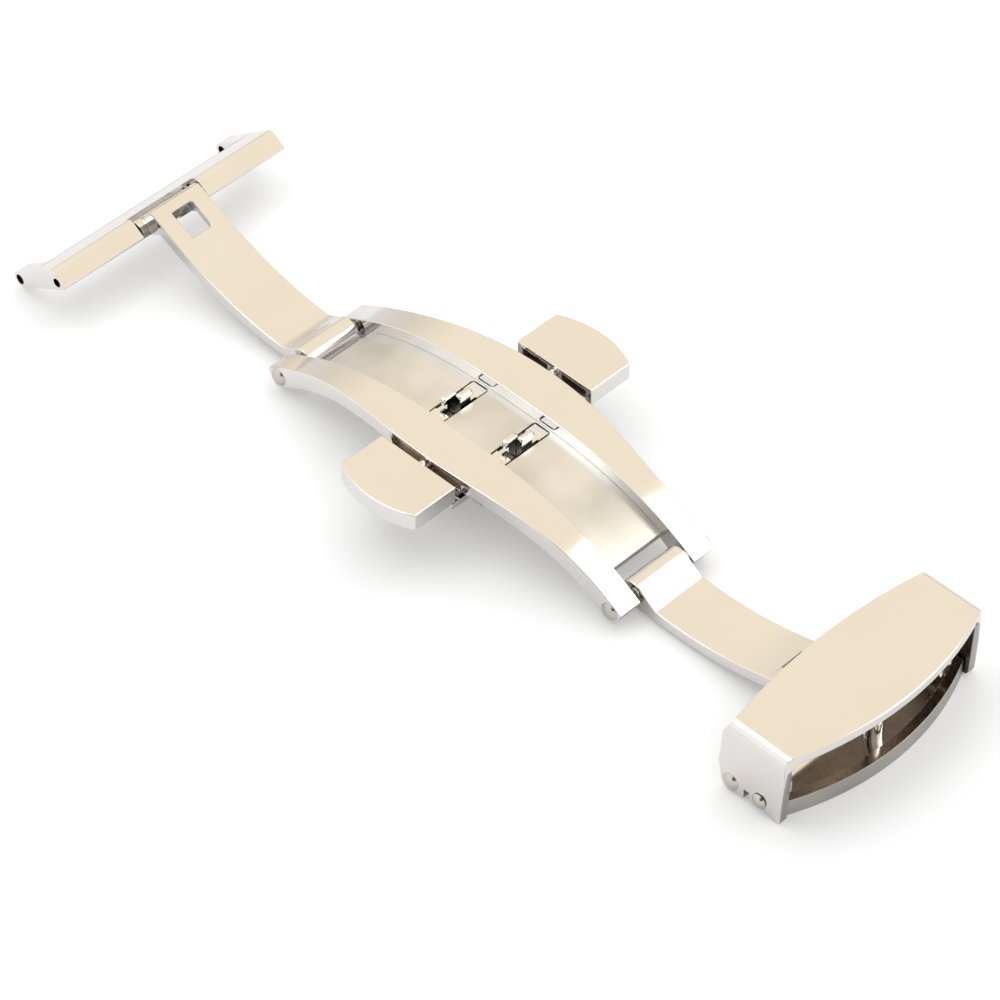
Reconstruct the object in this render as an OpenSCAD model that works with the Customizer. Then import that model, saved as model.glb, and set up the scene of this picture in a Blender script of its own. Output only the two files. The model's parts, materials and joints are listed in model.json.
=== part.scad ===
// Butterfly watch clasp for a 20 mm strap, lying open on a table.
// X runs along the strap from the lug bar to the buckle box, Y across it, Z up.
// The origin is under the middle of the bridge, on the surface that the clasp lies on.

/* [Bridge] */
// Distance from the middle of the bridge to each hinge pin
hinge_x = 17.85; // [17.5:0.05:18.2]
// Height of the hinge pins above the table
hinge_z = 1.55; // [1.4:0.05:1.7]
// Height of the rails' top at the middle of the bridge
bridge_h = 6.4; // [6:0.05:7.5]
// Height of the rails' top at their ends above the hinge pins
end_rise = 0.25; // [0.15:0.05:0.4]
// How late the arch turns down, 2 being a parabola
arch_power = 2.65; // [2.3:0.05:3]
// Width of the channel between the rails
channel_w = 5.8; // [5.4:0.1:7]
// Half width of the bridge at its ends
bridge_end_half = 5.1; // [4.9:0.05:5.4]
// Half width of the bridge at its middle
bridge_mid_half = 6.65; // [6.4:0.05:6.8]
// Height of the rails' side at the middle
rail_h_mid = 1.25; // [1.2:0.05:1.5]
// How much higher the rails' side gets towards the ends
rail_h_gain = 1; // [0.6:0.05:1.2]
// Depth of the web plate below the rails' top
web_drop = 1.1; // [1:0.05:1.2]
// Thickness of the web plate
web_t = 0.5; // [0.4:0.05:0.6]
// Distance from each hinge pin to the web plate's end
web_gap = 2.25; // [2.1:0.05:2.6]

/* [Arms] */
// Width of the folding arms
arm_w = 5.2; // [4.6:0.1:5.3]
// Thickness of the folding arms
arm_t = 1.05; // [0.9:0.05:1.1]
// Outer radius of the arms' hinge eye
eye_r = 1.2; // [1.1:0.05:1.25]
// Height of the lug bar's pin at the left arm's end, above the table
lug_pin_z = 4.25; // [4.1:0.05:4.5]
// Height of the box's pin at the right arm's end, above the table
box_pin_z = 1; // [0.95:0.05:1.1]
// Width of the latch window in each arm
window_w = 2.1; // [2:0.05:2.2]
// Radius of the hinge pins
hinge_pin_r = 0.5; // [0.45:0.05:0.55]
// Radius of the hinge pins' domed heads
hinge_head_r = 0.8; // [0.7:0.01:0.82]
// Height of the domed pin heads
head_h = 0.35; // [0.25:0.05:0.45]

/* [Push buttons] */
// Width of the buttons along the clasp
button_w = 7.9; // [7.6:0.1:8.4]
// Distance from the middle line to the buttons' inner face
button_in = 7.3; // [7.2:0.05:7.6]
// Distance from the middle line to the buttons' outer corners
button_out = 11.6; // [11:0.1:12.5]
// How far the buttons' outer edge bulges past the corners
button_bulge = 0.95; // [0.6:0.05:1.3]
// Height of the buttons
button_h = 1.6; // [1.5:0.05:1.7]
// How far each button travels inwards
button_travel = 0.42; // [0.35:0.01:0.45]
// Distance from the middle of the clasp to the middle of each latch window
hook_x = 3.3; // [3.25:0.05:3.35]
// Width of the sliders' tongues
tongue_w = 1.45; // [1.35:0.05:1.5]
// Width of the sliders' arms under the rails
runner_w = 1.1; // [0.9:0.05:1.2]
// Thickness of the sliders' arms
slider_t = 0.55; // [0.45:0.05:0.6]
// Width of a latch hook along the clasp
hook_w = 0.55; // [0.45:0.05:0.6]
// Radius of the guide rods
rod_r = 0.42; // [0.35:0.01:0.45]
// Depth of the guide rods' middle below the rails' top
rod_drop = 0.78; // [0.7:0.02:0.8]

/* [Lug bar] */
// Length of the lug bar across the clasp
lug_w = 23.8; // [22.5:0.1:24.5]
// Clear width between the lug bar's ears, for the strap
strap_gap = 20.6; // [20:0.1:21]
// Distance from the lug bar's pin to the middle of each ear tip
ear_reach = 5.75; // [5.6:0.05:6.2]
// Radius of the ear tips
ear_tip_r = 0.7; // [0.65:0.05:0.75]
// Radius of the strap's spring bar holes in the ears
spring_bar_r = 0.45; // [0.4:0.05:0.5]
// Radius of the lug bar's pin
lug_pin_r = 0.4; // [0.36:0.02:0.42]
// Width of the arm's knuckle in the lug bar's pocket
knuckle_w = 6.8; // [6.2:0.1:7.2]

/* [Buckle box] */
// Outer width of the box across the clasp
box_w = 21.4; // [21:0.1:22]
// Thickness of the box's walls
wall = 0.8; // [0.7:0.05:0.9]
// Height of the box at its sides
box_h = 7; // [6.9:0.05:7.6]
// How much higher the box's cover is in the middle
crown = 0.3; // [0.1:0.05:0.5]
// Distance from the box's pin to the front of its sides
box_side_l = 4.9; // [4.7:0.05:5.1]
// How far the cover's front edge bulges past the sides
front_bulge = 2.2; // [1.8:0.05:2.3]
// How far the cover's rear edge bulges past the sides
rear_bulge = 0.9; // [0.6:0.05:1.1]
// Radius of the box's hinge pin
box_pin_r = 0.5; // [0.45:0.05:0.6]
// Radius of the lobes that hold the box's hinge pin
lobe_r = 1; // [0.95:0.05:1]
// Distance from the hinge pin to the flap's snap pins
snap_reach = 2.8; // [2.7:0.05:2.9]
// Thickness of the flap
flap_t = 0.7; // [0.6:0.05:0.8]
// Height of the flap's top above the table
flap_top = 1.05; // [1:0.05:1.15]
// Radius of the strap post
post_r = 0.73; // [0.6:0.01:0.8]
// Height of the strap post above the flap
post_h = 4.7; // [4:0.1:4.8]

/* [Hidden] */
$fn = 48;

// clearances
run = 0.04;     // round a turning or sliding pin
gap = 0.05;     // between a shut arm and the web
side_gap = 0.1; // beside pieces that slide or swing

// the arch of the bridge, which drops to the height that the hinge pins need
arch_rise = bridge_h - hinge_z - end_rise;
rail_end = hinge_x + 1.15;
rail_lobe_r = 1.05;
channel_half = channel_w / 2;
web_half = hinge_x - web_gap;
function rail_top(x) = bridge_h - arch_rise * pow(abs(x) / rail_end, arch_power);
function rail_low(x) = rail_top(x) - rail_h_mid - rail_h_gain * pow(abs(x) / hinge_x, 3);
function web_top(x) = rail_top(x) - web_drop;
swell_reach = 17;
function rail_out(x) = bridge_end_half
    + (bridge_mid_half - bridge_end_half) * (1 + cos(180 * min(abs(x) / swell_reach, 1))) / 2;
function span(a, b, n) = [for (i = [0:n]) a + (b - a) * i / n];
function arc(c, r, a, b, n) = [for (t = span(a, b, n)) c + r * [cos(t), sin(t)]];
lobe_start = -62;
lobe_stop = -138;

// the shut arms, drawn over the right half of the bridge
arm_half = arm_w / 2;
hinge = [hinge_x, hinge_z];
function arm_low(x) = web_top(x) + gap;
function arm_up(x) = arm_low(x) + arm_t;
arm_root = web_half + 0.2;
root_low = [arm_root, arm_low(arm_root)];
root_up = [arm_root, arm_up(arm_root)];
root_run = hinge - (root_low + root_up) / 2;
root_side = [-root_run[1], root_run[0]] / norm(root_run) * eye_r;
window_r = 0.15;
left_window = [1.35, 3.98];
right_window = [2.2, 4.8];

// the lug bar's pin and the box's pin with both arms shut, on the right half
lug_pin_shut = [0.6, bridge_h + 1.1];
box_pin_shut = [1.8, bridge_h + 1.85];
lug_eye_r = 0.8;
box_eye_r = 0.95;
left_arm_end = lug_pin_shut[0] - 0.2;
right_arm_end = box_pin_shut[0] - box_eye_r;

// the folding angles that bring the pins down to their heights at rest
function fold_to(p, z) = let (d = p - hinge)
    atan2(d[1], d[0]) - asin((z - hinge_z) / norm(d));
left_fold = fold_to(lug_pin_shut, lug_pin_z);
right_fold = fold_to(box_pin_shut, box_pin_z);
function rest_x(p, z) = hinge_x + sqrt(pow(norm(p - hinge), 2) - pow(z - hinge_z, 2));
lug_pin = [-rest_x(lug_pin_shut, lug_pin_z), lug_pin_z];
box_pin = [rest_x(box_pin_shut, box_pin_z), box_pin_z];

// the latch
slider_top = web_top(hook_x + tongue_w / 2) - web_t - 0.07;
slider_low = slider_top - slider_t;
tongue_top = web_top(hook_x + tongue_w / 2) - 0.03;
tongue_in = 1.5;
tongue_out = channel_half - 0.3;
hook_side = 0.31;
hook_stem = [-0.05, window_w / 2 - 0.1];
hook_out = hook_stem[1] + button_travel - 0.1;
hook_under = arm_low(hook_x) + 0.36;
hook_tip = hook_under + 0.35;
hook_top = hook_under + 0.55;
ledge_low = hook_under - 0.06;
ledge_half = hook_out + 0.08;
button_low = bridge_h - button_h;
spring_r = 0.5;
spring_wire = 0.11;
spring_z = slider_top - 0.7;
spring_x = 1.2;
seat_in = 2;
seat_t = 0.6;
pan_floor = spring_z - spring_r - 0.12;
pan_t = 0.4;
pan_half = hook_x + tongue_w / 2 + 0.35;
pan_out = 4.9;
boss_half = hook_x - tongue_w / 2 - 0.15;
boss_low = slider_top + 0.08;
screw_x = 1.5;
screw_y = 3.95;
screw_r = 0.4;
screw_head_r = 0.7;
screw_head_h = 0.3;
screw_seat = 0.5;    // depth of the screws' holes in the rails
rivet_x = 1.8;
rivet_y = button_in + 1.3;
rivet_r = 0.5;
rivet_seat = 0.28;   // depth of the rivets' holes in the buttons
root_in = button_in + 0.1;
root_out = button_in + 2.2;
root_half = button_w / 2 - 0.7;
rod_end = 3.55;
rod_root = button_in + 2.7;
rod_z = bridge_h - rod_drop;
boss_out = bridge_mid_half - 0.55;
pocket_in = 0.75;    // from the middle of a button to the pockets in its inner face
pocket_wall = 0.6;
pocket_l = button_w / 2 - pocket_wall - pocket_in;

// the lug bar, drawn flat about its pin with the ears towards -X
lug_half = lug_w / 2;
ear_t = lug_half - strap_gap / 2;
lug_under = 0.62;
lug_over = 1.18;
lug_depth = 2.9;
ear_taper = 0.25;
ear_lift = 0.6; // under the ear tips
lug_tilt = asin((lug_pin[1] - ear_tip_r - ear_lift) / ear_reach);
pocket_half = knuckle_w / 2 + side_gap;
knuckle_up = [cos(left_fold + 90), sin(left_fold + 90)];
knuckle_side = [-knuckle_up[1], knuckle_up[0]];

// the box, in place about its pin
box_half = box_w / 2;
box_in = box_half - wall;
box_front = box_pin[0] + box_side_l;
box_rear = box_pin[0] - 0.35;
flap_half = box_in - 0.15;
lip_t = 0.8;
lip_low = 0.05;
lip_top = flap_top + 0.52;
flap_front = box_front - 0.5;
flap_bulge = front_bulge - 0.05;
snap_pin = [box_pin[0] + snap_reach, box_pin[1] + 0.18];
snap_r = 0.4;
snap_seat = 1.4;     // depth of the snap pins' holes in the flap
snap_block = 1.6;    // width of the blocks on the flap that hold them
snap_head_r = 0.65;
snap_head_h = 0.34;
head_gap = 0.06;     // under the snap pins' heads
box_head_r = 0.78;
box_head_h = 0.36;
flap_eye_r = 0.85;
spacer_r = 0.8;
spacer_t = 0.25;
post_rivet_r = 0.4;
post_rivet_l = 0.8;
post_x = flap_front - 0.2;

// A flat outline in X and Z, carried from y0 to y1
module across(y0, y1) {
    translate([0, y1, 0]) rotate([90, 0, 0]) linear_extrude(y1 - y0) children();
}

// A round bar along Y through the point p in X and Z
module bar(p, r, y0, y1) {
    translate([p[0], y1, p[1]]) rotate([90, 0, 0]) cylinder(r = r, h = y1 - y0);
}

// A shallow dome standing on the XY plane
module dome(r, h) {
    ball = (r * r + h * h) / (2 * h);
    intersection() {
        translate([0, 0, h - ball]) sphere(ball);
        cylinder(r = r, h = h);
    }
}

// A pin along Y with a domed head on each end
module headed_pin(p, r, half, head_r, h) {
    bar(p, r, -half, half);
    for (s = [-1, 1])
        translate([p[0], s * half, p[1]]) rotate([-90 * s, 0, 0]) dome(head_r, h);
}

// An upright hole with rounded corners, from x0 to x1 and y0 to y1
module window(x0, x1, y0, y1, r, z0, z1) {
    translate([0, 0, z0]) linear_extrude(z1 - z0) polygon(concat(
        arc([x1 - r, y1 - r], r, 0, 90, 4), arc([x0 + r, y1 - r], r, 90, 180, 4),
        arc([x0 + r, y0 + r], r, 180, 270, 4), arc([x1 - r, y0 + r], r, 270, 360, 4)));
}

module rail_side() {
    polygon(concat(
        [for (x = span(-rail_end, rail_end, 56)) [x, rail_top(x)]],
        arc(hinge, rail_lobe_r, lobe_start, lobe_stop, 8),
        [for (x = span(hinge_x - 1.45, 1.45 - hinge_x, 44)) [x, rail_low(x)]],
        arc([-hinge_x, hinge_z], rail_lobe_r, 180 - lobe_stop, 180 - lobe_start, 8)));
}

module rail_plan() {
    polygon(concat(
        [[-rail_end - 0.6, channel_half], [rail_end + 0.6, channel_half]],
        [for (x = span(rail_end + 0.6, -rail_end - 0.6, 56)) [x, rail_out(x)]]));
}

// The far rail; the near one is its mirror image
module rail() {
    difference() {
        union() {
            intersection() {
                across(0, bridge_mid_half + 1) rail_side();
                linear_extrude(bridge_h + 1) rail_plan();
            }
            translate([-boss_half, channel_half, boss_low])
                cube([2 * boss_half, boss_out - channel_half, rod_z - boss_low]);
        }
        for (s = [-1, 1])
            bar([s * hinge_x, hinge_z], hinge_pin_r, 0, bridge_mid_half + 1);
        // the shadowed recess that the button's inner face dips into
        translate([0.35 - button_w / 2, bridge_mid_half - 0.75, bridge_h - 1.25])
            cube([button_w - 0.7, 2, 1]);
        bar([0, rod_z], rod_r + run, rod_end - button_travel - 0.08, bridge_mid_half + 1);
        for (s = [-1, 1])
            translate([s * screw_x, screw_y, boss_low - 1]) cylinder(r = screw_r, h = 1 + screw_seat);
    }
}

module near_rail() { color([0.86, 0.83, 0.79]) mirror([0, 1, 0]) rail(); }

module far_rail() { color([0.86, 0.83, 0.79]) rail(); }

module web_plate() {
    color([0.8, 0.78, 0.71]) difference() {
        across(-channel_half, channel_half) polygon(concat(
            [for (x = span(-web_half, web_half, 48)) [x, web_top(x)]],
            [for (x = span(web_half, -web_half, 48)) [x, web_top(x) - web_t]]));
        for (s = [-1, 1])
            window(s * hook_x - tongue_w / 2 - 0.13, s * hook_x + tongue_w / 2 + 0.13,
                -tongue_out - 0.13, tongue_out + 0.13, 0.3, bridge_h / 2, bridge_h);
    }
}

// The tray that closes the latch from below, with a groove for each slider arm
module mechanism_pan() {
    high = boss_low - pan_floor + pan_t;
    color([0.72, 0.71, 0.69]) difference() {
        translate([-pan_half, -pan_out, pan_floor - pan_t])
            cube([2 * pan_half, 2 * pan_out, high]);
        for (s = [-1, 1])
            translate([s * hook_x - runner_w / 2 - side_gap, -2 * pan_out, slider_low - side_gap])
                cube([runner_w + 2 * side_gap, 4 * pan_out, high]);
        for (s = [-1, 1])
            translate([s * hook_x - tongue_w / 2 - side_gap, -channel_half, slider_low - side_gap])
                cube([tongue_w + 2 * side_gap, channel_w, high]);
        translate([-boss_half - 0.3, -channel_half + side_gap, pan_floor])
            cube([2 * boss_half + 0.6, channel_w - 2 * side_gap, high]);
        // the web plate dips below the rim at the ends of the tray
        translate([-2 * pan_half, -channel_half, web_top(pan_half) - web_t - side_gap])
            cube([4 * pan_half, channel_w, high]);
        for (x = [-screw_x, screw_x], y = [-screw_y, screw_y])
            translate([x, y, pan_floor - pan_t]) {
                cylinder(r = screw_r, h = 2 * high);
                cylinder(r = screw_head_r, h = screw_head_h);
            }
    }
}

module pan_screws() {
    color([0.66, 0.65, 0.64])
        for (x = [-screw_x, screw_x], y = [-screw_y, screw_y])
            translate([x, y, pan_floor - pan_t]) difference() {
                union() {
                    cylinder(r = screw_head_r, h = screw_head_h);
                    cylinder(r = screw_r, h = boss_low + screw_seat - 0.1 - pan_floor + pan_t);
                }
                translate([-screw_head_r, -0.1, -1]) cube([2 * screw_head_r, 0.2, 1.15]);
            }
}

module hinge_pin(side) {
    headed_pin([side * hinge_x, hinge_z], hinge_pin_r, bridge_end_half, hinge_head_r, head_h);
}

module left_hinge_pin() { color([0.78, 0.76, 0.72]) hinge_pin(-1); }

module right_hinge_pin() { color([0.78, 0.76, 0.72]) hinge_pin(1); }

// An arm's plate and its hinge eye, shut down on the right half of the web
module arm_blank(end_x) {
    across(-arm_half, arm_half) polygon(concat(
        [for (x = span(end_x, arm_root, 34)) [x, arm_low(x)]],
        [hinge - root_side, hinge + root_side],
        [for (x = span(arm_root, end_x, 34)) [x, arm_up(x)]]));
    bar(hinge, eye_r, -arm_half, arm_half);
}

module arm_holes(sides) {
    bar(hinge, hinge_pin_r + run, -arm_half - 1, arm_half + 1);
    window(sides[0], sides[1], -window_w / 2, window_w / 2, window_r,
        bridge_h - 2, bridge_h + 0.5);
    // the ledge that the hooks' noses catch on
    window(sides[0] - 0.4, sides[1] + 0.4, -ledge_half, ledge_half, window_r,
        ledge_low, bridge_h + 0.5);
}

// Turns a shut arm on the right half out to its place at rest
module unfold(fold) {
    translate([hinge_x, 0, hinge_z]) rotate([0, fold, 0]) translate([-hinge_x, 0, -hinge_z])
        children();
}

module left_arm() {
    p = lug_pin_shut;
    color([0.87, 0.83, 0.75]) mirror([1, 0, 0]) unfold(left_fold) difference() {
        union() {
            arm_blank(left_arm_end);
            across(-arm_half, arm_half) polygon([
                [left_arm_end, arm_low(left_arm_end) + 0.2],
                [p[0] + 1.5, arm_low(p[0]) + 0.2], [p[0] + 1.5, arm_up(p[0] + 1.5) - 0.02],
                [p[0] + lug_eye_r, p[1]], [p[0] - lug_eye_r, p[1]]]);
            bar(p, lug_eye_r, -knuckle_w / 2, knuckle_w / 2);
            // the knuckle's flat top, which lies level at rest
            across(-knuckle_w / 2, knuckle_w / 2) polygon([
                p + knuckle_up * 0.74 + knuckle_side * 0.5, p + knuckle_up * 0.74 - knuckle_side * 0.5,
                p - knuckle_side * 0.5, p + knuckle_side * 0.5]);
        }
        arm_holes(left_window);
        bar(p, lug_pin_r + run, -knuckle_w, knuckle_w);
    }
}

module right_arm() {
    p = box_pin_shut;
    color([0.87, 0.83, 0.75]) unfold(right_fold) difference() {
        union() {
            arm_blank(right_arm_end);
            across(-arm_half, arm_half) polygon([
                [right_arm_end, arm_low(right_arm_end) + 0.2],
                [p[0] + 0.1, arm_low(p[0]) + 0.2], [p[0] + 0.1, arm_up(p[0])],
                [p[0] + box_eye_r, p[1]], [p[0] - box_eye_r, p[1]]]);
            bar(p, box_eye_r, -arm_half, arm_half);
        }
        arm_holes(right_window);
        bar(p, box_pin_r + run, -arm_half - 1, arm_half + 1);
    }
}

// The far button's outline from above: straight inside, curved outside
module button_plan() {
    half = button_w / 2;
    r = (half * half + button_bulge * button_bulge) / (2 * button_bulge);
    a = asin(half / r);
    polygon(concat(
        [[-half, button_in], [half, button_in]],
        arc([0, button_out + button_bulge - r], r, 90 - a, 90 + a, 20)));
}

module button() {
    difference() {
        translate([0, 0, button_low]) linear_extrude(button_h) button_plan();
        for (s = [-1, 1])
            translate([s > 0 ? pocket_in : -pocket_in - pocket_l, button_in - 1, button_low + 0.3])
                cube([pocket_l, 2.2, 0.9]);
        bar([0, rod_z], rod_r, button_in - 1, rod_root);
        for (s = [-1, 1])
            translate([s * rivet_x, rivet_y, button_low - 1]) cylinder(r = rivet_r, h = 1 + rivet_seat);
    }
}

module near_button() { color([0.87, 0.83, 0.77]) mirror([0, 1, 0]) button(); }

module far_button() { color([0.87, 0.83, 0.77]) button(); }

// The far slider: two arms under the rail, a tongue and a hook on each, and the spring seat.
// The near one is the same piece turned half round, so their hooks pass side by side.
module slider() {
    difference() {
        union() {
            for (s = [-1, 1]) translate([s * hook_x, 0, 0]) {
                translate([-runner_w / 2, channel_half - 0.5, slider_low])
                    cube([runner_w, root_in + 0.7 - channel_half, slider_t]);
                translate([-tongue_w / 2, tongue_in, slider_low])
                    cube([tongue_w, tongue_out - tongue_in, tongue_top - slider_low]);
                translate([hook_side - hook_w / 2, 0, 0]) rotate([90, 0, 90])
                    linear_extrude(hook_w) polygon([
                        [hook_stem[0] - 0.1, slider_low], [tongue_in + 0.1, slider_low],
                        [tongue_in + 0.1, tongue_top], [hook_stem[1], tongue_top],
                        [hook_stem[1], hook_under], [hook_out, hook_under],
                        [hook_out, hook_tip], [hook_out - 0.2, hook_top],
                        [hook_stem[0], hook_top], [hook_stem[0] - 0.1, hook_top - 0.1]]);
            }
            translate([-hook_x, seat_in, pan_floor + 0.1])
                cube([2 * hook_x, seat_t, slider_top - pan_floor - 0.1]);
            translate([-root_half, root_in, slider_low])
                cube([2 * root_half, root_out - root_in, button_low - slider_low]);
        }
        for (s = [-1, 1])
            translate([s * hook_x - tongue_w / 2 - 0.2, seat_in - 0.1, pan_floor - pan_t])
                cube([tongue_w + 0.4, seat_t + 0.2, slider_low - pan_floor + pan_t]);
        for (s = [-1, 1])
            translate([s * rivet_x, rivet_y, slider_low - slider_t])
                cylinder(r = rivet_r, h = 2 * (button_low - slider_low) + slider_t);
    }
}

module near_slider() { color([0.75, 0.73, 0.69]) rotate([0, 0, 180]) slider(); }

module far_slider() { color([0.75, 0.73, 0.69]) slider(); }

module guide_rod() { bar([0, rod_z], rod_r, rod_end, rod_root); }

module near_guide_rod() { color([0.9, 0.88, 0.84]) mirror([0, 1, 0]) guide_rod(); }

module far_guide_rod() { color([0.9, 0.88, 0.84]) guide_rod(); }

module rivets() {
    for (s = [-1, 1])
        translate([s * rivet_x, rivet_y, slider_low])
            cylinder(r = rivet_r, h = button_low + rivet_seat - slider_low);
}

module near_rivets() { color([0.7, 0.69, 0.67]) mirror([0, 1, 0]) rivets(); }

module far_rivets() { color([0.7, 0.69, 0.67]) rivets(); }

// Two coil springs that push the sliders apart, each a wire swept along its helix
module coil_spring(turns, sides, steps) {
    r = spring_r - spring_wire;
    half = seat_in - spring_wire;
    n = turns * steps;
    function point(i, k) = let (t = i * 360 / steps, w = r + spring_wire * cos(k * 360 / sides))
        [w * cos(t), -half + 2 * half * i / n + spring_wire * sin(k * 360 / sides), w * sin(t)];
    polyhedron(
        points = [for (i = [0:n], k = [0:sides - 1]) point(i, k)],
        faces = concat(
            [[for (k = [0:sides - 1]) k]],
            [for (i = [0:n - 1], k = [0:sides - 1]) let (a = i * sides, j = (k + 1) % sides)
                [a + k, a + sides + k, a + sides + j, a + j]],
            [[for (k = [sides - 1:-1:0]) n * sides + k]]));
}

module pusher_springs() {
    color([0.6, 0.6, 0.62]) for (s = [-1, 1])
        translate([s * spring_x, 0, spring_z]) coil_spring(7, 6, 14);
}

// The lug bar's section about its pin, ears not included
module lug_section() {
    polygon([[0.7, -lug_under], [0.88, -0.42], [0.1, lug_over],
        [-lug_depth, lug_over - 0.25], [-lug_depth, -lug_under]]);
}

module ear_section() {
    polygon(concat([[-1, -lug_under], [0, lug_over - 0.02]],
        arc([-ear_reach, 0], ear_tip_r, 85, 265, 12)));
}

// The lug bar's outline from above, its ears thinner towards their tips
module lug_plan() {
    tip = -ear_reach - ear_tip_r - 0.1;
    polygon([[2, -lug_half], [-1, -lug_half], [tip, ear_taper - lug_half],
        [tip, -strap_gap / 2], [-lug_depth, -strap_gap / 2], [-lug_depth, strap_gap / 2],
        [tip, strap_gap / 2], [tip, lug_half - ear_taper], [-1, lug_half], [2, lug_half]]);
}

module lug_bar() {
    color([0.9, 0.86, 0.81]) translate([lug_pin[0], 0, lug_pin[1]]) rotate([0, -lug_tilt, 0])
    difference() {
        intersection() {
            union() {
                across(-lug_half, lug_half) lug_section();
                for (y = [-lug_half, lug_half - ear_t]) across(y, y + ear_t) ear_section();
            }
            translate([0, 0, -3]) linear_extrude(6) lug_plan();
        }
        // the pocket for the arm's knuckle, open to the front
        across(-pocket_half, pocket_half) polygon([
            [3, -2], [3, 2], [0.2, 2], [-lug_eye_r - 0.2, 0.75], [-lug_eye_r - 0.2, -2]]);
        // the relief that clears the latch hooks when the clasp is shut
        translate([-lug_depth - 1, -1.8, -2]) cube([lug_depth + 1, 3.6, 2.4]);
        bar([0, 0], lug_pin_r, -lug_half - 1, lug_half + 1);
        bar([-ear_reach, 0], spring_bar_r, -lug_half - 1, lug_half + 1);
    }
}

module lug_bar_pin() {
    color([0.7, 0.69, 0.67]) bar(lug_pin, lug_pin_r, 1.2 - lug_half, lug_half - 1.2);
}

// The cover's section across the clasp: two sides under a crowned top
module cover_section(half, top, r) {
    rise = crown;
    flat = half - r;
    big = (flat * flat + rise * rise) / (2 * rise);
    a = asin(flat / big);
    polygon(concat([[-half, -1], [half, -1]],
        arc([half - r, top - r], r, 0, 90, 8),
        arc([0, top + rise - big], big, 90 - a, 90 + a, 24),
        arc([r - half, top - r], r, 90, 180, 8)));
}

// A curved edge in plan, bulging towards +X by sag over the width of the box
function bow(x, sag, half, n) = let (r = (half * half + sag * sag) / (2 * sag), a = asin(half / r))
    [for (t = span(-a, a, n)) [x + sag - r + r * cos(t), r * sin(t)]];

module cover_side_outline() {
    z = box_pin[1];
    slit = snap_pin[0] - 1.52;
    polygon(concat(
        [[box_rear + 0.05, box_h],
            [box_rear - 0.65, box_h - 1.3], [box_rear - 0.9, z + 1.5]],
        arc(box_pin, lobe_r, 180, 290, 10),
        [[slit, 0.2], [slit, z + 0.12], [slit + 0.45, z + 0.12], [slit + 0.45, 0.3],
            [snap_pin[0] + 0.75, 0.3], [snap_pin[0] + 1.4, 0], [box_front - 0.3, 0],
            [box_front - 0.1, 0.3], [box_front + 0.1, box_h - 1.5], [box_front + 1, box_h]]));
}

module buckle_cover() {
    reach = box_half + 1;
    color([0.88, 0.85, 0.77]) difference() {
        intersection() {
            translate([box_rear - 5, 0, 0]) rotate([90, 0, 90]) linear_extrude(20)
                cover_section(box_half, box_h, 0.8);
            union() {
                translate([0, 0, box_h - 1]) linear_extrude(3) polygon(concat(
                    bow(box_front, front_bulge, box_half, 28),
                    [for (p = bow(-box_rear, rear_bulge, box_half, 28)) [-p[0], -p[1]]]));
                intersection() {
                    for (y = [-reach, box_in - 0.3]) across(y, y + 1.3 + wall) cover_side_outline();
                    linear_extrude(box_h) polygon(concat([[box_rear - 2, -reach]],
                        bow(box_front, front_bulge, box_half, 28), [[box_rear - 2, reach]]));
                }
            }
        }
        translate([box_rear - 6, 0, 0]) rotate([90, 0, 90]) linear_extrude(22)
            cover_section(box_in, box_h - wall, 0.3);
        bar(box_pin, box_pin_r, -reach, reach);
        // the open seats that the snap pins click up into
        for (y = [-reach, box_in - 1]) across(y, y + 3) polygon(concat(
            arc(snap_pin, snap_r + 0.08, 0, 180, 10),
            [[snap_pin[0] - snap_r - 0.2, -1], [snap_pin[0] + snap_r + 0.08, -1]]));
    }
}

module box_hinge_pin() {
    color([0.8, 0.78, 0.74]) headed_pin(box_pin, box_pin_r, box_half, box_head_r, box_head_h);
}

// Thin washers between the arm's eye and the flap's knuckles
module box_spacers() {
    color([0.75, 0.74, 0.7]) for (s = [-1, 1]) {
        y = s > 0 ? arm_half + head_gap : -arm_half - head_gap - spacer_t;
        difference() {
            bar(box_pin, spacer_r, y, y + spacer_t);
            bar(box_pin, box_pin_r, y - 1, y + 1);
        }
    }
}

module strap_flap() {
    notch = arm_half + 0.4;
    color([0.74, 0.7, 0.63]) difference() {
        union() {
            // plate, from the knuckles to the curved front
            translate([0, 0, flap_top - flap_t]) linear_extrude(flap_t) polygon(concat(
                [[box_pin[0], -flap_half]], bow(flap_front - 0.4, flap_bulge, flap_half, 28),
                [[box_pin[0], flap_half]]));
            // lip
            translate([0, 0, lip_low]) linear_extrude(lip_top - lip_low) polygon(concat(
                bow(flap_front, flap_bulge, flap_half, 28),
                [for (p = bow(flap_front - lip_t, flap_bulge, flap_half, 28)) [p[0], -p[1]]]));
            bar(box_pin, flap_eye_r, -flap_half, flap_half);
            for (y = [0.02 - flap_half, flap_half - 0.02 - snap_block])
                translate([snap_pin[0] - snap_block / 2, y, snap_pin[1] - 0.7])
                    cube([snap_block, snap_block, 1.35]);
        }
        translate([box_pin[0] - 2, -notch, -1]) cube([3.4, 2 * notch, 5]);
        bar(box_pin, box_pin_r + run, -box_half, box_half);
        bar(snap_pin, snap_r, -box_half, snap_seat - flap_half);
        bar(snap_pin, snap_r, flap_half - snap_seat, box_half);
        translate([post_x, 0, 0]) cylinder(r = post_rivet_r, h = 4);
    }
}

module strap_post() {
    color([0.78, 0.74, 0.68]) translate([post_x, 0, flap_top]) difference() {
        union() {
            cylinder(r = post_r, h = post_h - 0.25);
            translate([0, 0, post_h - 0.25]) dome(post_r, 0.25);
        }
        translate([0, 0, -1]) cylinder(r = post_rivet_r, h = 1 + post_rivet_l);
    }
}

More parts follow.
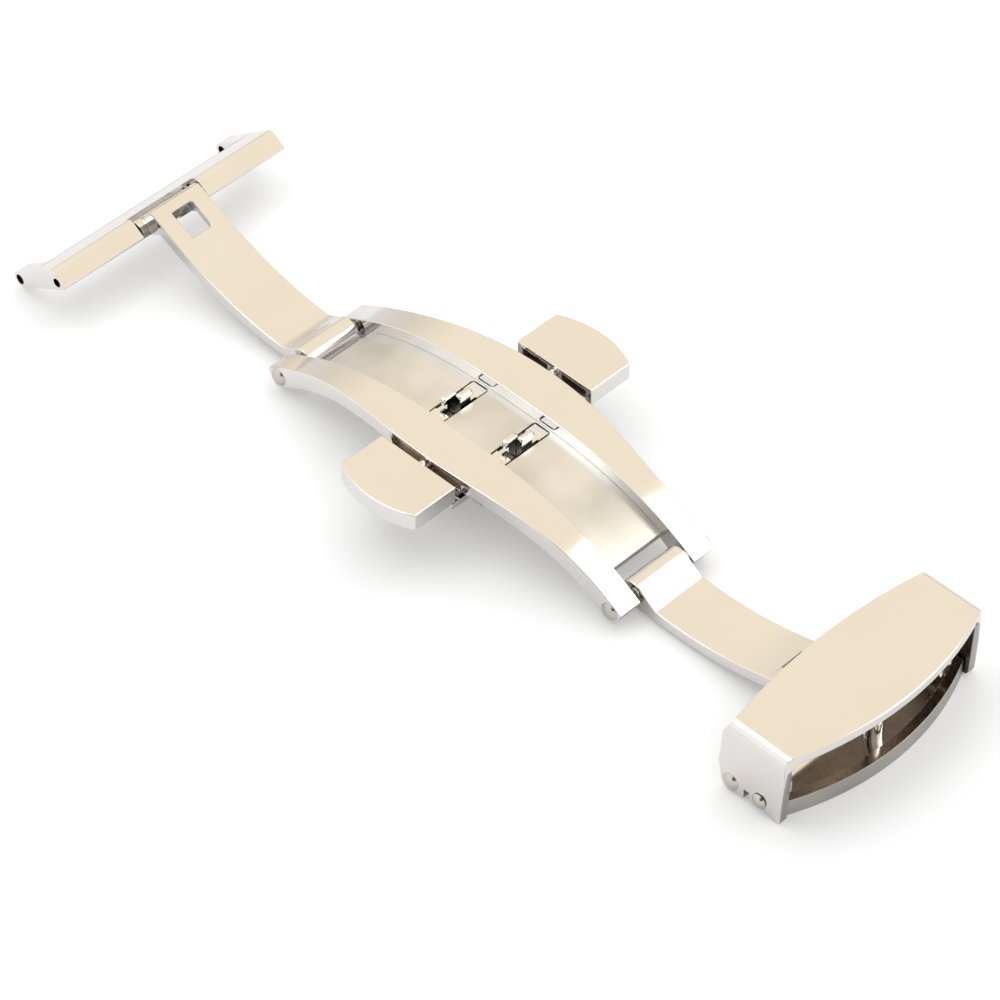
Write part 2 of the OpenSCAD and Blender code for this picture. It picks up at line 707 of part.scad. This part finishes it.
// Holds the post from below, spread flush with the flap's underside
module post_rivet() {
    color([0.7, 0.67, 0.62]) translate([post_x, 0, flap_top - flap_t])
        cylinder(r = post_rivet_r, h = flap_t + post_rivet_l);
}

module snap_pins() {
    color([0.8, 0.78, 0.74]) for (s = [-1, 1]) {
        y0 = s > 0 ? flap_half - snap_seat : -box_half - head_gap;
        bar(snap_pin, snap_r, y0, y0 + box_half + head_gap - flap_half + snap_seat);
        translate([snap_pin[0], s * (box_half + head_gap), snap_pin[1]]) rotate([-90 * s, 0, 0])
            dome(snap_head_r, snap_head_h);
    }
}

near_rail();
far_rail();
web_plate();
mechanism_pan();
pan_screws();
left_hinge_pin();
right_hinge_pin();
left_arm();
right_arm();
near_button();
far_button();
near_slider();
far_slider();
near_guide_rod();
far_guide_rod();
near_rivets();
far_rivets();
pusher_springs();
lug_bar();
lug_bar_pin();
buckle_cover();
box_hinge_pin();
box_spacers();
strap_flap();
strap_post();
post_rivet();
snap_pins();
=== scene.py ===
"""A butterfly watch clasp of stainless steel, lying open on a white table."""
import math
import bpy
import bmesh
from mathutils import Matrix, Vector
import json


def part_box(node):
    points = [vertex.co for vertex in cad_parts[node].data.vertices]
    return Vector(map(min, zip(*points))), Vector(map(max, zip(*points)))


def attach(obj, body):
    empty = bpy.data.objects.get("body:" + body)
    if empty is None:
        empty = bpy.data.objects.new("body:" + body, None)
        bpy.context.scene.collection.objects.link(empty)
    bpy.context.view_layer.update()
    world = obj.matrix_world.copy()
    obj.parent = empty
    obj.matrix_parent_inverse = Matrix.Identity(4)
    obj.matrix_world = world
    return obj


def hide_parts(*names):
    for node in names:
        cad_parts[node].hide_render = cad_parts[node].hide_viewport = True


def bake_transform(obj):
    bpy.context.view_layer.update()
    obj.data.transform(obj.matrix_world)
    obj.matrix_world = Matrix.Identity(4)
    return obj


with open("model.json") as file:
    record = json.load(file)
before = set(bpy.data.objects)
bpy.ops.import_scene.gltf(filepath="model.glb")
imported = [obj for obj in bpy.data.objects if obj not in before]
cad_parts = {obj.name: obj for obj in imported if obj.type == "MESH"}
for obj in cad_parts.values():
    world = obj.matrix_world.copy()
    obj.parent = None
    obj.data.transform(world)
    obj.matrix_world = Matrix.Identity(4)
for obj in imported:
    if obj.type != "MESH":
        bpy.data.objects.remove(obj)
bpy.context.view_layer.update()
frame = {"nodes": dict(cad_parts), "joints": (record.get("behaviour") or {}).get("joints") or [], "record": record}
NODES = frame["nodes"]
JOINTS = {joint["name"]: joint for joint in frame["joints"]}
MM = 0.001


# VIEW
# The photograph is taken from the near right with a long lens, about 45
# degrees above the table.
def placed(name, data):
    made = bpy.data.objects.new(name, data)
    bpy.context.scene.collection.objects.link(made)
    return made


camera_data = bpy.data.cameras.new("camera")
camera_data.lens = 166.467
camera_data.sensor_width = 36.0
camera_data.clip_start = 0.05
camera_data.clip_end = 20.0
camera = placed("camera", camera_data)
camera.location = (0.1769474, -0.1789501, 0.2510671)
camera.rotation_euler = (0.7806176, -0.0032230, 0.7789653)
bpy.context.scene.camera = camera
bpy.context.scene.view_settings.view_transform = "Standard"


# TABLE
# A sheet of smooth white paper that the clasp lies on. A faint glow keeps its
# shadows light, and the metal sees it a little greyer than the eye does.
def tree_of(material):
    material.use_nodes = True
    tree = material.node_tree
    tree.nodes.clear()
    return tree


def add(tree, kind, settings=None, **sockets):
    made = tree.nodes.new(kind)
    for key, value in (settings or {}).items():
        setattr(made, key, value)
    for key, value in sockets.items():
        made.inputs[key.replace("_", " ")].default_value = value
    return made


paper = bpy.data.materials.new("white_paper")
tree = tree_of(paper)
lit = add(tree, "ShaderNodeBsdfDiffuse", Color=(0.67, 0.67, 0.67, 1))
glow = add(tree, "ShaderNodeEmission", Color=(1, 1, 1, 1), Strength=0.235)
seen = add(tree, "ShaderNodeAddShader")
tree.links.new(lit.outputs[0], seen.inputs[0])
tree.links.new(glow.outputs[0], seen.inputs[1])
mirrored = add(tree, "ShaderNodeBsdfDiffuse", Color=(0.73, 0.715, 0.705, 1))
path = add(tree, "ShaderNodeLightPath")
either = add(tree, "ShaderNodeMixShader")
end = add(tree, "ShaderNodeOutputMaterial")
tree.links.new(path.outputs["Is Glossy Ray"], either.inputs[0])
tree.links.new(seen.outputs[0], either.inputs[1])
tree.links.new(mirrored.outputs[0], either.inputs[2])
tree.links.new(either.outputs[0], end.inputs[0])
PAPER_REACH = 3
paper_mesh = bpy.data.meshes.new("table_sheet")
paper_mesh.from_pydata([(x * PAPER_REACH, y * PAPER_REACH, 0)
                        for x, y in ((-1, -1), (1, -1), (1, 1), (-1, 1))], [], [(0, 1, 2, 3)])
paper_mesh.materials.append(paper)
placed("table_sheet", paper_mesh)

# LIGHT
# A tent of cream cloth, white on the near side, with a gap for the camera and
# a dark spot that lines the right-hand edges. A key lamp gives the soft
# shadows, and small cards give the burnt highlights on the bends.
world = bpy.data.worlds.new("light_tent")
bpy.context.scene.world = world
world.use_nodes = True
tree = world.node_tree
tree.nodes.clear()
direction = add(tree, "ShaderNodeTexCoord")
split = add(tree, "ShaderNodeSeparateXYZ")
tree.links.new(direction.outputs["Generated"], split.inputs[0])
CREAM = (1.0, 0.885, 0.70, 1)
cloth = add(tree, "ShaderNodeValToRGB")
cloth.color_ramp.elements[0].color = (0.80, 0.78, 0.77, 1)
cloth.color_ramp.elements[1].color = (1.0, 0.95, 0.88, 1)
for height, colour in ((0.22, (0.76, 0.69, 0.60, 1)), (0.50, CREAM), (0.86, CREAM)):
    cloth.color_ramp.elements.new(height).color = colour
tree.links.new(split.outputs["Z"], cloth.inputs[0])
near_side = add(tree, "ShaderNodeMapRange", {"interpolation_type": "SMOOTHSTEP"},
                From_Min=0.02, From_Max=-0.22)
tree.links.new(split.outputs["Y"], near_side.inputs["Value"])
walls = add(tree, "ShaderNodeMix", {"data_type": "RGBA"})
walls.inputs["B"].default_value = (1.04, 1.02, 0.99, 1)
tree.links.new(near_side.outputs[0], walls.inputs["Factor"])
tree.links.new(cloth.outputs[0], walls.inputs["A"])


def with_spot(behind, towards, edge, core, colour):
    """The tent's colour with a soft round spot in one direction."""
    nearness = add(tree, "ShaderNodeVectorMath", {"operation": "DOT_PRODUCT"})
    nearness.inputs[1].default_value = Vector(towards).normalized()
    tree.links.new(direction.outputs["Generated"], nearness.inputs[0])
    spot = add(tree, "ShaderNodeMapRange", {"interpolation_type": "SMOOTHSTEP"},
               From_Min=edge, From_Max=core)
    tree.links.new(nearness.outputs["Value"], spot.inputs["Value"])
    both = add(tree, "ShaderNodeMix", {"data_type": "RGBA"})
    both.inputs["B"].default_value = (*colour, 1)
    tree.links.new(spot.outputs[0], both.inputs["Factor"])
    tree.links.new(behind, both.inputs["A"])
    return both.outputs["Result"]


camera_gap = with_spot(walls.outputs["Result"], towards=camera.location,
                       edge=0.84, core=0.93, colour=(0.32, 0.29, 0.26))
edge_line = with_spot(camera_gap, towards=(0.30, -0.85, 0.41),
                      edge=0.935, core=0.965, colour=(0.05, 0.045, 0.04))
tent = add(tree, "ShaderNodeBackground", Strength=1.0)
tree.links.new(edge_line, tent.inputs["Color"])
white = add(tree, "ShaderNodeBackground", Color=(1, 1, 1, 1), Strength=1.02)
path = add(tree, "ShaderNodeLightPath")
pick = add(tree, "ShaderNodeMixShader")
end = add(tree, "ShaderNodeOutputWorld")
tree.links.new(path.outputs["Is Glossy Ray"], pick.inputs[0])
tree.links.new(white.outputs[0], pick.inputs[1])
tree.links.new(tent.outputs[0], pick.inputs[2])
tree.links.new(pick.outputs[0], end.inputs[0])


def lamp(name, place, aim, size, power, on_metal=True, on_paper=True):
    light = bpy.data.lights.new(name, "AREA")
    light.shape = "RECTANGLE"
    light.size, light.size_y = size
    light.energy = power
    holder = placed(name, light)
    holder.location = place
    holder.rotation_euler = (Vector(aim) - Vector(place)).to_track_quat("-Z", "Y").to_euler()
    holder.visible_glossy = on_metal
    holder.visible_diffuse = on_paper
    holder.visible_camera = False


RIGHT_BENDS = (0.018, 0, 0.003)
lamp("key_lamp", (-0.05, 0.21, 0.45), (0, 0, 0), (0.44, 0.44), 0.66, on_metal=False)
lamp("right_card", (0.046, 0.040, 0.068), RIGHT_BENDS, (0.044, 0.034), 0.0076, on_paper=False)
lamp("low_card", (0.084, 0.040, 0.036), RIGHT_BENDS, (0.044, 0.050), 0.0110, on_paper=False)
lamp("near_card", (-0.112, -0.070, 0.262), (0.010, 0, 0.005), (0.20, 0.12), 0.115)


# THE RAILS
# Two arched rails of polished stainless steel, milled and bent, with a soft
# edge all round. They carry every other piece.
GRAIN_SCALE = 2500.0
GRAIN_DEPTH = 0.02 * MM


def metal_grain():
    """Fine uneven roughness and relief, and broad patches of a second tint."""
    group = bpy.data.node_groups.new("metal_grain", "ShaderNodeTree")
    for name, kind, value in (("Scale", "NodeSocketFloat", GRAIN_SCALE),
                              ("Stretch", "NodeSocketVector", (1, 1, 1)),
                              ("Low", "NodeSocketFloat", 0.1),
                              ("High", "NodeSocketFloat", 0.2)):
        group.interface.new_socket(name, in_out="INPUT", socket_type=kind).default_value = value
    for name in ("Roughness", "Height", "Patch"):
        group.interface.new_socket(name, in_out="OUTPUT", socket_type="NodeSocketFloat")
    start = group.nodes.new("NodeGroupInput")
    end = group.nodes.new("NodeGroupOutput")
    place = add(group, "ShaderNodeTexCoord")
    scaled = add(group, "ShaderNodeVectorMath", {"operation": "MULTIPLY"})
    fine = add(group, "ShaderNodeTexNoise", Detail=3.0)
    broad = add(group, "ShaderNodeTexNoise", Scale=150.0, Detail=2.0)
    span = add(group, "ShaderNodeMapRange")
    links = group.links
    links.new(place.outputs["Object"], scaled.inputs[0])
    links.new(start.outputs["Stretch"], scaled.inputs[1])
    links.new(scaled.outputs[0], fine.inputs["Vector"])
    links.new(start.outputs["Scale"], fine.inputs["Scale"])
    links.new(place.outputs["Object"], broad.inputs["Vector"])
    links.new(fine.outputs["Fac"], span.inputs["Value"])
    links.new(start.outputs["Low"], span.inputs["To Min"])
    links.new(start.outputs["High"], span.inputs["To Max"])
    links.new(span.outputs[0], end.inputs["Roughness"])
    links.new(fine.outputs["Fac"], end.inputs["Height"])
    cloud = add(group, "ShaderNodeMapRange", From_Min=0.36, From_Max=0.64)
    links.new(broad.outputs["Fac"], cloud.inputs["Value"])
    links.new(cloud.outputs[0], end.inputs["Patch"])
    return group


GRAIN = metal_grain()


def steel(name, colour, tint, rough, stretch=(1, 1, 1), bump=0.03):
    made = bpy.data.materials.new(name)
    tree = tree_of(made)
    grain = add(tree, "ShaderNodeGroup", {"node_tree": GRAIN}, Scale=GRAIN_SCALE,
                Stretch=stretch, Low=rough[0], High=rough[1])
    shader = add(tree, "ShaderNodeBsdfPrincipled", Metallic=1.0)
    end = add(tree, "ShaderNodeOutputMaterial")
    mix = add(tree, "ShaderNodeMix", {"data_type": "RGBA"})
    mix.inputs["A"].default_value = (*colour, 1)
    mix.inputs["B"].default_value = (*tint, 1)
    relief = add(tree, "ShaderNodeBump", Strength=bump, Distance=GRAIN_DEPTH)
    tree.links.new(grain.outputs["Patch"], mix.inputs["Factor"])
    tree.links.new(mix.outputs["Result"], shader.inputs["Base Color"])
    tree.links.new(grain.outputs["Roughness"], shader.inputs["Roughness"])
    tree.links.new(grain.outputs["Height"], relief.inputs["Height"])
    tree.links.new(relief.outputs[0], shader.inputs["Normal"])
    tree.links.new(shader.outputs[0], end.inputs[0])
    return made


EDGE_ANGLE = 32
FLAT_ANGLE = 0.35
WELD = 2e-7


def welded(source):
    work = bmesh.new()
    work.from_mesh(NODES[source].data)
    bmesh.ops.remove_doubles(work, verts=work.verts, dist=WELD)
    return work


def smooth(mesh, sharp_from=EDGE_ANGLE):
    mesh.polygons.foreach_set("use_smooth", [True] * len(mesh.polygons))
    mesh.set_sharp_from_angle(angle=math.radians(sharp_from))


def rounded(holder, width, segments=3, clamp=False, **settings):
    edge = holder.modifiers.new("edge", "BEVEL")
    edge.width = width * MM
    edge.segments = segments
    edge.harden_normals = True
    edge.use_clamp_overlap = clamp
    for key, value in settings.items():
        setattr(edge, key, value)


def finished(name, holder):
    """The mesh that an object's modifiers make."""
    graph = bpy.context.evaluated_depsgraph_get()
    mesh = bpy.data.meshes.new_from_object(holder.evaluated_get(graph))
    mesh.name = name
    return mesh


def dressed(source, body, finishes, width=0.07, choose=None,
            bold=None, bold_width=0.0, clamp=False):
    """A smooth copy of a CAD node with rounded edges, which it then replaces.

    choose picks each face's finish, and bold picks the edges with bold_width.
    """
    mesh = bpy.data.meshes.new(source + "_body")
    work = welded(source)
    bmesh.ops.dissolve_limit(work, angle_limit=math.radians(FLAT_ANGLE), verts=work.verts,
                             edges=work.edges, use_dissolve_boundaries=False)
    work.to_mesh(mesh)
    work.free()
    rough = placed(source + "_rough", mesh)
    if bold:
        weights = mesh.attributes.new("bevel_weight_edge", "FLOAT", "EDGE")
        for edge in mesh.edges:
            start, end = (mesh.vertices[k].co / MM for k in edge.vertices)
            weights.data[edge.index].value = 1.0 if bold((start + end) / 2, end - start) else 0.0
        rounded(rough, bold_width, 5, limit_method="WEIGHT")
    rounded(rough, width, clamp=clamp, limit_method="ANGLE",
            angle_limit=math.radians(EDGE_ANGLE))
    smooth(mesh)
    final = finished(source + "_finished", rough)
    bpy.data.objects.remove(rough)
    final.materials.clear()
    for finish in finishes:
        final.materials.append(finish)
    for face in final.polygons:
        face.material_index = choose(face.center / MM, face.normal) if choose else 0
    piece = placed(source + "_finished", final)
    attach(piece, body)
    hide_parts(source)


POLISHED = steel("polished_steel", (0.875, 0.860, 0.845), (0.860, 0.842, 0.825), (0.08, 0.14))
# The rails' button recesses are painted a darker brown steel, as the shade that falls in them.
RECESS_PAINTED_SHADE = steel("recess_painted_shade_steel", (0.72, 0.63, 0.53), (0.60, 0.52, 0.43), (0.25, 0.4), bump=0.15)
RECESS_HALF_X, RECESS_Y, RECESS_Z = 3.62, (5.8, 6.66), (5.1, 6.2)
RECESS_BACK_Y = 6.1


def within(value, span):
    return span[0] < value < span[1]


def in_button_recess(place, normal):
    inside = (abs(place.x) < RECESS_HALF_X and within(abs(place.y), RECESS_Y)
              and within(place.z, RECESS_Z))
    sunk = abs(normal.z) > 0.5 or abs(normal.x) > 0.5 or abs(place.y) < RECESS_BACK_Y
    return 1 if inside and sunk else 0


for side in ("near", "far"):
    dressed(side + "_rail", "bridge", (POLISHED, RECESS_PAINTED_SHADE), 0.08, choose=in_button_recess)

# THE WEB
# A thin satin plate bent to the rails' arch and held between them, with a
# window for each pair of hooks.
SATIN = steel("satin_steel", (0.84, 0.84, 0.82), (0.66, 0.655, 0.62), (0.30, 0.42),
              stretch=(1, 9, 9), bump=0.22)
dressed("web_plate", "bridge", (SATIN,), 0.05)

# THE HINGE PINS
# Turned steel pins with domed heads outside the rails, a little rougher than
# the plates and painted darker, as the shade their domes reflect.
PIN_PAINTED_SHADE = steel("pin_steel", (0.68, 0.65, 0.61), (0.56, 0.535, 0.50), (0.14, 0.24))
for side in ("left", "right"):
    dressed(side + "_hinge_pin", "bridge", (PIN_PAINTED_SHADE,), 0.04)


# THE ARMS
# Two bent leaves of polished steel that fold over the web, each with a window
# that the hooks catch in. The left one's knuckle ends are painted dark brown as shade.
SHADED = steel("shaded_steel", (0.42, 0.37, 0.32), (0.36, 0.32, 0.28), (0.25, 0.4), bump=0.1)
KNUCKLE_X, KNUCKLE_END_Y = -33.5, 2.62
WINDOW_X, WINDOW_HALF_Y = (20, 35), 1.6


def on_arm(place, normal):
    if place.x < KNUCKLE_X and abs(place.y) > KNUCKLE_END_Y and normal.z < 0.9:
        return 1
    in_window = within(abs(place.x), WINDOW_X) and abs(place.y) < WINDOW_HALF_Y
    return 2 if in_window and abs(normal.z) < 0.6 else 0


for side in ("left", "right"):
    dressed(side + "_arm", side + "_leaf", (POLISHED, SHADED, SATIN), 0.09, choose=on_arm)


# THE PUSH BUTTONS
# Thick polished tabs with a curved outer edge. Each is riveted to a slider
# with two hooks, and runs on a rod.
POCKET_HALF_X, POCKET_Y, POCKET_Z = 3.4, (7.2, 8.6), (5.05, 6.05)
POCKET_BACK_Y = 8
HOOK_NECK_Z = 5.7


# The button's pocket faces get the same darker brown steel, as painted shade.
def in_button_pocket(place, normal):
    inside = (abs(place.x) < POCKET_HALF_X and within(abs(place.y), POCKET_Y)
              and within(place.z, POCKET_Z))
    return 1 if inside and (abs(normal.y) < 0.5 or abs(place.y) > POCKET_BACK_Y) else 0


def on_hook_head(middle, along):
    return middle.z > HOOK_NECK_Z


for side in ("near", "far"):
    dressed(side + "_button", side + "_pusher", (POLISHED, RECESS_PAINTED_SHADE), 0.10, choose=in_button_pocket)
    dressed(side + "_slider", side + "_pusher", (POLISHED,), 0.10, bold=on_hook_head,
            bold_width=0.15, clamp=True)
    dressed(side + "_guide_rod", side + "_pusher", (POLISHED,), 0.05)

# THE LUG BAR
# A solid polished bar that turns on the left arm. Its ears hold the strap's
# spring bar. The pin sits deep in its hole, and the pin and both bores are
# painted near black as the shade in the holes.
lug_axis = Vector(JOINTS["lug_bar_hinge"]["pos_m"]) / MM
ear_axis = Vector(next(mount["pos_m"] for mount in frame["record"]["mounts"]
                       if mount["name"] == "spring_bar_bore")) / MM
BORES = ((lug_axis, 0.46), (ear_axis, 0.52))
LONG_EDGE, BAR_TOP_Z, BAR_BACK_X = 4, 5, -38.5


def in_bore(place, normal):
    for axis, reach in BORES:
        if math.hypot(place.x - axis.x, place.z - axis.z) < reach and abs(normal.y) < 0.5:
            return 1
    return 0


def long_edge(middle, along):
    return abs(along.y) > LONG_EDGE and (middle.z > BAR_TOP_Z or middle.x < BAR_BACK_X)


BORE_PAINTED_SHADE = steel("bore_painted_shade_steel", (0.16, 0.13, 0.105), (0.10, 0.08, 0.065), (0.25, 0.4), bump=0.15)
dressed("lug_bar", "lug", (POLISHED, BORE_PAINTED_SHADE), 0.08, choose=in_bore, bold=long_edge, bold_width=0.4,
        clamp=True)
dressed("lug_bar_pin", "lug", (BORE_PAINTED_SHADE,), 0.04)


# THE BUCKLE BOX
# A cover bent from one polished plate with two side plates. Its inside is
# painted dark brown as shade, and the side plates' front ends are satin and
# painted darker as shade.
CEILING_Z, SIDE_PLATE_Y, PLATE_END_Z = 5.5, 9.97, 5.6


def in_cover(place, normal):
    if normal.z < -0.6 and place.z > CEILING_Z:
        return 1
    if abs(place.y) < SIDE_PLATE_Y and normal.y * place.y < -0.6 * abs(place.y):
        return 1
    return 2 if normal.x > 0.7 and place.z < PLATE_END_Z else 0


# The cover's underside and inner side faces get a dark brown steel, as painted shade.
INSIDE_PAINTED_SHADE = steel("inside_painted_shade_steel", (0.20, 0.155, 0.115), (0.14, 0.108, 0.08), (0.2, 0.35), bump=0.1)
# Satin steel, painted darker as shade, for the faces that look forward along x.
LIP_SATIN_PAINTED_SHADE = steel("lip_steel", (0.60, 0.585, 0.57), (0.50, 0.49, 0.475), (0.30, 0.45),
            stretch=(1, 1, 6), bump=0.3)
dressed("buckle_cover", "box", (POLISHED, INSIDE_PAINTED_SHADE, LIP_SATIN_PAINTED_SHADE), 0.08, choose=in_cover)
dressed("box_hinge_pin", "box", (PIN_PAINTED_SHADE,), 0.04)


# THE STRAP FLAP
# The plate that swings down to free the strap. Its curved front lip is satin
# and painted darker as shade, and the strap's post is riveted to it.
LIP_X = 39.3


def on_lip(place, normal):
    return 1 if normal.x > 0.5 and place.x > LIP_X and abs(normal.z) < 0.3 else 0


dressed("strap_flap", "flap", (POLISHED, LIP_SATIN_PAINTED_SHADE), 0.08, choose=on_lip, clamp=True)
dressed("strap_post", "flap", (POLISHED,), 0.06)
dressed("snap_pins", "flap", (PIN_PAINTED_SHADE,), 0.04)

# THE FASTENERS
# The tray's slotted screws and the sliders' rivets. One Geometry Nodes tree
# makes each row, with a screw or rivet wherever the frame has a solid.
PLAIN = steel("plain_steel", (0.62, 0.60, 0.57), (0.54, 0.52, 0.49), (0.25, 0.4), bump=0.1)
SHANK_SIDES, HEAD_SIDES, DOME_RINGS = 32, 48, 24
HEAD_EASE, SHANK_EASE = 0.01, 0.02
FASTENER_ANGLE = 35


def solids_of(source):
    """The centre and the low and high corners of each separate solid of a CAD node."""
    work = welded(source)
    unseen = set(work.verts)
    boxes = []
    while unseen:
        solid = [unseen.pop()]
        for vert in solid:
            fresh = {edge.other_vert(vert) for edge in vert.link_edges} & unseen
            unseen -= fresh
            solid += fresh
        low = Vector([min(vert.co[k] for vert in solid) for k in range(3)])
        high = Vector([max(vert.co[k] for vert in solid) for k in range(3)])
        boxes.append(((low + high) / 2, low, high))
    work.free()
    return sorted(boxes, key=lambda box: tuple(box[0]))


def fastener_tree():
    """A domed head and a shank, with a saw slot if it has a width, at every point."""
    tree = bpy.data.node_groups.new("fastener_row", "GeometryNodeTree")
    tree.interface.new_socket("Geometry", in_out="INPUT", socket_type="NodeSocketGeometry")
    for name in ("Head Radius", "Head Height", "Dome", "Shank Radius", "Length", "Slot"):
        tree.interface.new_socket(name, in_out="INPUT", socket_type="NodeSocketFloat")
    tree.interface.new_socket("Finish", in_out="INPUT", socket_type="NodeSocketMaterial")
    tree.interface.new_socket("Geometry", in_out="OUTPUT", socket_type="NodeSocketGeometry")
    start = tree.nodes.new("NodeGroupInput")
    end = tree.nodes.new("NodeGroupOutput")
    links = tree.links

    def sized(operation, first, second):
        node = add(tree, "ShaderNodeMath", {"operation": operation})
        for place, value in enumerate((first, second)):
            if isinstance(value, (int, float)):
                node.inputs[place].default_value = value
            else:
                links.new(value, node.inputs[place])
        return node.outputs[0]

    def vector_of(**parts):
        node = tree.nodes.new("ShaderNodeCombineXYZ")
        for axis, value in parts.items():
            if isinstance(value, (int, float)):
                node.inputs[axis].default_value = value
            else:
                links.new(value, node.inputs[axis])
        return node.outputs[0]

    def moved(mesh, shift=None, scale=None):
        node = tree.nodes.new("GeometryNodeTransform")
        links.new(mesh, node.inputs["Geometry"])
        if shift:
            links.new(shift, node.inputs["Translation"])
        if scale:
            links.new(scale, node.inputs["Scale"])
        return node.outputs[0]

    def turned(radius, depth, sides):
        node = add(tree, "GeometryNodeMeshCylinder", Vertices=sides)
        links.new(radius, node.inputs["Radius"])
        links.new(depth, node.inputs["Depth"])
        return moved(node.outputs["Mesh"], vector_of(Z=sized("MULTIPLY", depth, 0.5)))

    asked = start.outputs
    shank = turned(asked["Shank Radius"], asked["Length"], SHANK_SIDES)
    rim = turned(asked["Head Radius"], asked["Head Height"], HEAD_SIDES)
    ball = add(tree, "GeometryNodeMeshUVSphere", Segments=HEAD_SIDES, Rings=DOME_RINGS)
    links.new(asked["Head Radius"], ball.inputs["Radius"])
    flatten = sized("DIVIDE", asked["Dome"], asked["Head Radius"])
    crown = moved(ball.outputs["Mesh"], scale=vector_of(X=1, Y=1, Z=flatten))
    head = add(tree, "GeometryNodeMeshBoolean", {"operation": "UNION", "solver": "EXACT"})
    links.new(rim, head.inputs["Mesh 2"])
    links.new(crown, head.inputs["Mesh 2"])
    saw = tree.nodes.new("GeometryNodeMeshCube")
    wide = sized("MULTIPLY", asked["Head Radius"], 3)
    links.new(vector_of(X=wide, Y=asked["Slot"], Z=asked["Head Height"]), saw.inputs["Size"])
    cut = add(tree, "GeometryNodeMeshBoolean", {"operation": "DIFFERENCE", "solver": "EXACT"})
    links.new(head.outputs["Mesh"], cut.inputs["Mesh 1"])
    links.new(saw.outputs["Mesh"], cut.inputs["Mesh 2"])
    slotted = add(tree, "FunctionNodeCompare", {"operation": "GREATER_THAN"})
    links.new(asked["Slot"], slotted.inputs[0])
    choice = add(tree, "GeometryNodeSwitch", {"input_type": "GEOMETRY"})
    links.new(slotted.outputs[0], choice.inputs["Switch"])
    links.new(head.outputs["Mesh"], choice.inputs["False"])
    links.new(cut.outputs["Mesh"], choice.inputs["True"])
    whole = tree.nodes.new("GeometryNodeJoinGeometry")
    links.new(shank, whole.inputs[0])
    links.new(choice.outputs[0], whole.inputs[0])
    row = tree.nodes.new("GeometryNodeInstanceOnPoints")
    links.new(asked["Geometry"], row.inputs["Points"])
    links.new(whole.outputs[0], row.inputs["Instance"])
    real = tree.nodes.new("GeometryNodeRealizeInstances")
    links.new(row.outputs[0], real.inputs[0])
    paint = tree.nodes.new("GeometryNodeSetMaterial")
    links.new(real.outputs[0], paint.inputs["Geometry"])
    links.new(asked["Finish"], paint.inputs["Material"])
    links.new(paint.outputs[0], end.inputs[0])
    return tree


FASTENER = fastener_tree()


def fastener_row(source, body, head_height, dome, shank=None, slot=0.0):
    """A row of screws or rivets, head down, in place of a CAD node's solids."""
    boxes = solids_of(source)
    _, low, high = boxes[0]
    radius = (high.x - low.x) / 2
    sizes = {"Head Radius": radius - HEAD_EASE * MM, "Head Height": head_height * MM,
             "Dome": dome * MM, "Shank Radius": (shank or radius / MM - SHANK_EASE) * MM,
             "Length": high.z - low.z, "Slot": slot * MM, "Finish": PLAIN}
    points = bpy.data.meshes.new(source + "_places")
    points.from_pydata([(middle.x, middle.y, low.z) for middle, low, _ in boxes], [], [])
    row = placed(source + "_row", points)
    made = row.modifiers.new("row", "NODES")
    made.node_group = FASTENER
    for item in FASTENER.interface.items_tree:
        if item.name in sizes:
            made[item.identifier] = sizes[item.name]
    mesh = finished(source + "_row", row)
    row.modifiers.remove(made)
    row.data = mesh
    smooth(mesh, FASTENER_ANGLE)
    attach(row, body)
    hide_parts(source)


fastener_row("pan_screws", "bridge", head_height=0.3, dome=0.10, shank=0.4, slot=0.2)
for side in ("near", "far"):
    fastener_row(side + "_rivets", side + "_pusher", head_height=0.2, dome=0.12)

# THE SPRINGS
# Two coil springs of steel wire push the sliders apart. Their mesh is cut
# across the middle into a near and a far half.
WIRE = steel("spring_wire", (0.66, 0.66, 0.67), (0.58, 0.58, 0.59), (0.2, 0.35), bump=0.1)
WIRE_ANGLE = 70
low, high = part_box("pusher_springs")
middle = (Vector(low) + Vector(high)) / 2
for side, end_y in (("near", low[1]), ("far", high[1])):
    half = bpy.data.meshes.new(side + "_spring_halves")
    work = bmesh.new()
    work.from_mesh(NODES["pusher_springs"].data)
    outer = end_y > middle.y
    cut = bmesh.ops.bisect_plane(work, geom=[*work.verts, *work.edges, *work.faces],
                                 plane_co=middle, plane_no=(0, 1, 0),
                                 clear_inner=outer, clear_outer=not outer)
    rims = [item for item in cut["geom_cut"] if isinstance(item, bmesh.types.BMEdge)]
    bmesh.ops.contextual_create(work, geom=rims)
    work.to_mesh(half)
    work.free()
    half.materials.clear()
    half.materials.append(WIRE)
    smooth(half, WIRE_ANGLE)
    coil = placed(side + "_spring_halves", half)
    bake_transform(coil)
    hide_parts("pusher_springs")

# THE HIDDEN PIECES
# The washers and the post's rivet are plain turned steel. The tray is rougher
# stamped steel painted darker, as the shade it lies in under the near button.
TRAY_PAINTED_SHADE = steel("tray_painted_shade_steel", (0.46, 0.44, 0.42), (0.38, 0.365, 0.35), (0.3, 0.45), bump=0.15)
for name, finish in (("mechanism_pan", TRAY_PAINTED_SHADE), ("box_spacers", PLAIN), ("post_rivet", PLAIN)):
    NODES[name].data.materials.clear()
    NODES[name].data.materials.append(finish)
